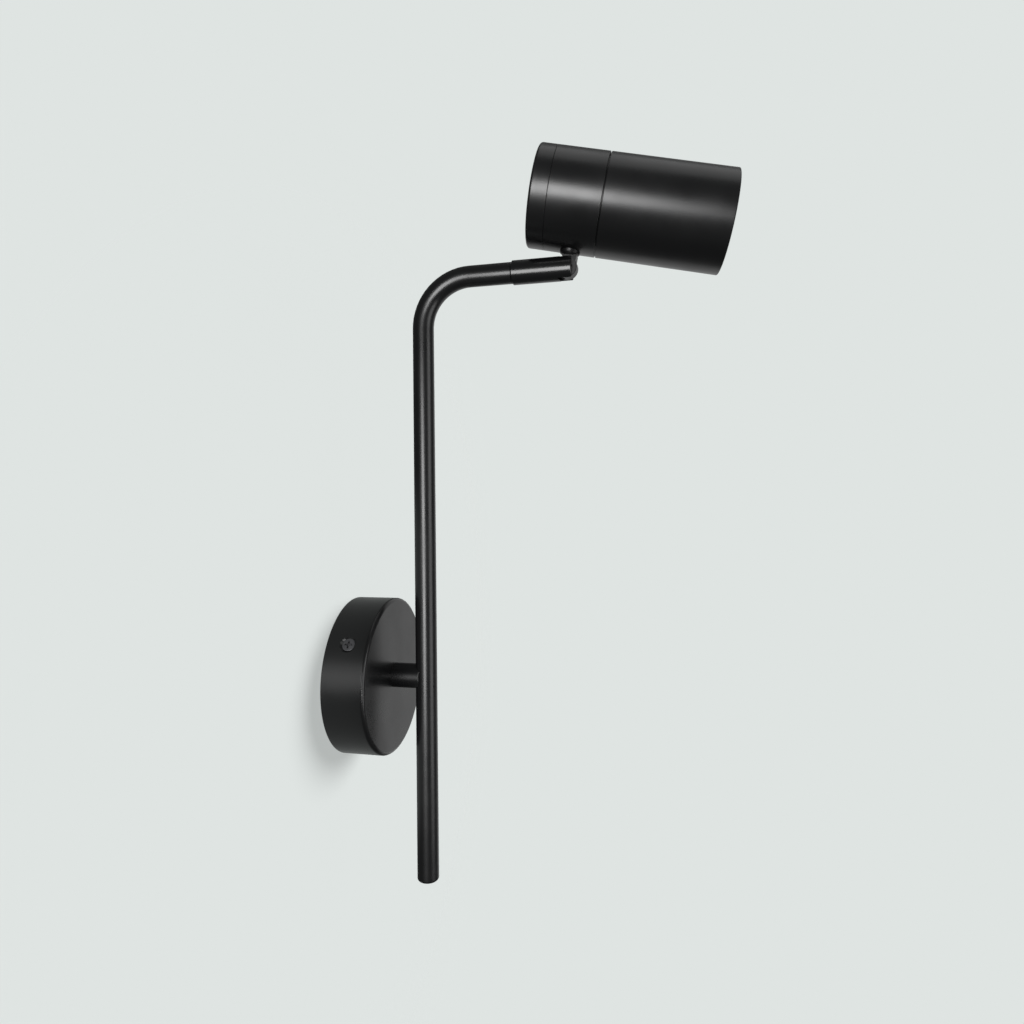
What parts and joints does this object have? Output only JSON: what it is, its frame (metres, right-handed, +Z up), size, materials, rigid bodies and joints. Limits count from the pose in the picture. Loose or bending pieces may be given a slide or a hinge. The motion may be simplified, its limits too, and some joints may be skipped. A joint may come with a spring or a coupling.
{
  "type": "pivoting spotlight wall light",
  "caption": "Wall light: round canopy, upright tube bent level at the top, and a cylindrical spotlight head on a tilting and panning knuckle.",
  "frame": {"origin": "centre of the wall screw pattern, on the wall plane at the middle of the canopy's back", "axes": "+Y into the wall, -Y out into the room, +Z up along the arm, +X across"},
  "size_m": [0.086, 0.2173, 0.4038],
  "materials": {
    "black_steel": "satin black powder coat on steel",
    "black_aluminium": "satin black paint on turned aluminium",
    "black_screw": "black zinc",
    "zinc_steel": "bright zinc",
    "brass": "turned brass",
    "white_plastic": "moulded",
    "nylon": "black nylon",
    "ceramic": "unglazed steatite",
    "clear_lens": "clear moulded lens",
    "led_board": "white solder mask",
    "nickel": "nickel plate",
    "brown_lead": "brown insulation",
    "blue_lead": "blue insulation",
    "earth_lead_green": "green and yellow insulation",
    "glass_braid": "woven glass sleeving"
  },
  "bodies": {
    "wall_mount": {"wall_bracket": "zinc_steel", "canopy": "black_steel", "canopy_screws": "black_screw", "terminal_block": "white_plastic", "terminal_inserts": "brass", "terminal_screws": "zinc_steel", "terminal_fixing_screws": "zinc_steel", "earth_washer": "zinc_steel", "earth_screw": "zinc_steel", "earth_jumper": "earth_lead_green", "live_lead": "brown_lead", "earth_lead": "earth_lead_green", "neutral_lead": "blue_lead", "stem_boss": "black_steel", "hollow_nipple": "zinc_steel", "nipple_nut": "zinc_steel", "lock_washer": "zinc_steel", "lead_bush": "white_plastic", "arm_tube": "black_steel", "arm_end_plug": "black_steel", "swivel_sleeve": "black_steel", "pivot_screw": "black_screw", "friction_washers": "nylon"},
    "knuckle": {"knuckle_tongue": "black_steel", "knuckle_lead_sleeve": "glass_braid", "pan_friction_washer": "nylon", "stop_washer": "zinc_steel", "stud_nut": "zinc_steel"},
    "head": {"swivel_seat": "black_aluminium", "inner_seat": "zinc_steel", "pan_stop_pin": "zinc_steel", "rear_cap": "black_aluminium", "rear_housing": "black_aluminium", "holder_plate": "zinc_steel", "lampholder": "ceramic", "holder_screws": "zinc_steel", "holder_contacts": "brass", "head_live_lead": "brown_lead", "head_neutral_lead": "blue_lead", "head_earth_lead": "earth_lead_green", "head_earth_screw": "zinc_steel"},
    "barrel": {"front_barrel": "black_aluminium"},
    "lamp": {"lamp_housing": "white_plastic", "lamp_lens": "clear_lens", "lamp_led_board": "led_board", "lamp_pins": "nickel"}
  },
  "joints": [
    {"name": "head_tilt", "type": "hinge", "parent": "wall_mount", "child": "knuckle", "pos_m": [0, -0.1258, 0.2246], "axis": [1, 0, 0], "range_deg": [-11, 79]},
    {"name": "head_pan", "type": "hinge", "parent": "knuckle", "child": "head", "pos_m": [0, -0.1258, 0.2246], "axis": [0, -0.1925, 0.9813], "range_deg": [-171.5, 157.5]},
    {"name": "barrel_draw_off", "type": "slide", "parent": "head", "child": "barrel", "axis": [0.1236, -0.9738, -0.191], "range_m": [0, 0.045]},
    {"name": "lamp_twist", "type": "hinge", "parent": "head", "child": "lamp", "pos_m": [0, -0.13283, 0.26042], "axis": [0.1236, -0.9738, -0.191], "range_deg": [0, 18]}
  ]
}
